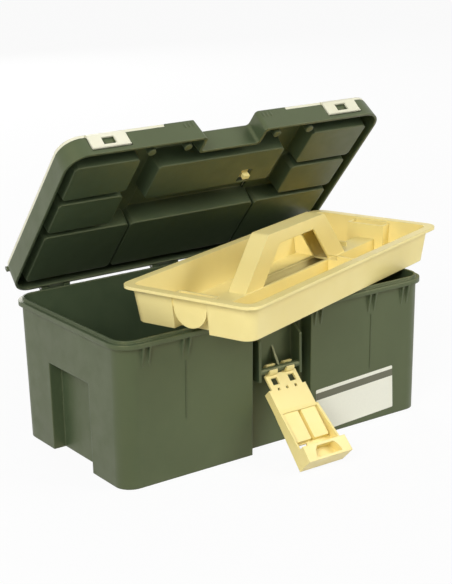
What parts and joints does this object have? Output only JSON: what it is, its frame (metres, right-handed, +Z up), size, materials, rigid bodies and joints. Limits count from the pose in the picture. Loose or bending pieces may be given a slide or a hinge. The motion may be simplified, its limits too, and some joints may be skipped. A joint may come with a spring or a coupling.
{
  "type": "tackle box",
  "caption": "Moulded plastic tackle box standing open: drafted tub, hinged lid with organiser wells and covers, lift-out tray with arch handle, swinging front latch.",
  "frame": {"origin": "middle of the tub's flat underside, on the floor the box stands on", "axes": "+X along the box to its right end, -Y to the front with the latch, +Z up; the lid stands open and the tray lies askew across the rims, as pictured"},
  "size_m": [0.4507, 0.328, 0.3446],
  "materials": {
    "green_shell": "dark green moulded polypropylene, fine satin texture",
    "cream_plastic": "cream-yellow moulded polypropylene, satin",
    "pale_cover": "pale cream moulded plastic, satin",
    "steel_pin": "plain drawn wire"
  },
  "bodies": {
    "tub": {"tub": "green_shell"},
    "tray": {"tray": "cream_plastic"},
    "hinge_pins": {"hinge_pin_left": "steel_pin", "hinge_pin_centre": "steel_pin", "hinge_pin_right": "steel_pin"},
    "lid": {"lid": "green_shell", "cover_pin_left": "steel_pin", "cover_pin_right": "steel_pin", "handle_pin_left": "steel_pin", "handle_pin_right": "steel_pin"},
    "latch": {"latch": "cream_plastic"},
    "cover_left": {"cover_left": "pale_cover", "clip_pin_left": "steel_pin"},
    "cover_right": {"cover_right": "pale_cover", "clip_pin_right": "steel_pin"},
    "clip_left": {"clip_left": "pale_cover"},
    "clip_right": {"clip_right": "pale_cover"},
    "carry_handle": {"carry_handle": "cream_plastic"}
  },
  "joints": [
    {"name": "tray_slide", "type": "slide", "parent": "tub", "child": "tray", "axis": [0, -1, 0], "range_m": [0, 0.5]},
    {"name": "lid_close", "type": "hinge", "parent": "tub", "child": "hinge_pins", "pos_m": [0, 0.117, 0.157], "axis": [-1, 0, 0], "range_deg": [-48.9, 0]},
    {"name": "lid_open", "type": "hinge", "parent": "hinge_pins", "child": "lid", "pos_m": [0, 0.117, 0.157], "axis": [-1, 0, 0], "range_deg": [0, 55]},
    {"name": "latch_swing", "type": "hinge", "parent": "tub", "child": "latch", "pos_m": [0, -0.101, 0.088], "axis": [-1, 0, 0], "range_deg": [0, 135.75]},
    {"name": "cover_left_open", "type": "hinge", "parent": "lid", "child": "cover_left", "pos_m": [-0.13785, 0.12366, 0.18405], "axis": [-1, 0, 0], "range_deg": [0, 105]},
    {"name": "clip_left_open", "type": "hinge", "parent": "cover_left", "child": "clip_left", "pos_m": [-0.1485, -0.01479, 0.34207], "axis": [-1, 0, 0], "range_deg": [0, 100]},
    {"name": "cover_right_open", "type": "hinge", "parent": "lid", "child": "cover_right", "pos_m": [0.13785, 0.12366, 0.18405], "axis": [-1, 0, 0], "range_deg": [0, 105]},
    {"name": "clip_right_open", "type": "hinge", "parent": "cover_right", "child": "clip_right", "pos_m": [0.1485, -0.01479, 0.34207], "axis": [-1, 0, 0], "range_deg": [0, 100]},
    {"name": "handle_raise", "type": "hinge", "parent": "lid", "child": "carry_handle", "pos_m": [0, 0.02428, 0.27119], "axis": [-1, 0, 0], "range_deg": [0, 95]}
  ],
  "couplings": [
    {"joint": "lid_close", "follows": "tray_slide", "rad_per_m": -1.7066},
    {"joint": "latch_swing", "follows": "tray_slide", "rad_per_m": 4.7381}
  ]
}
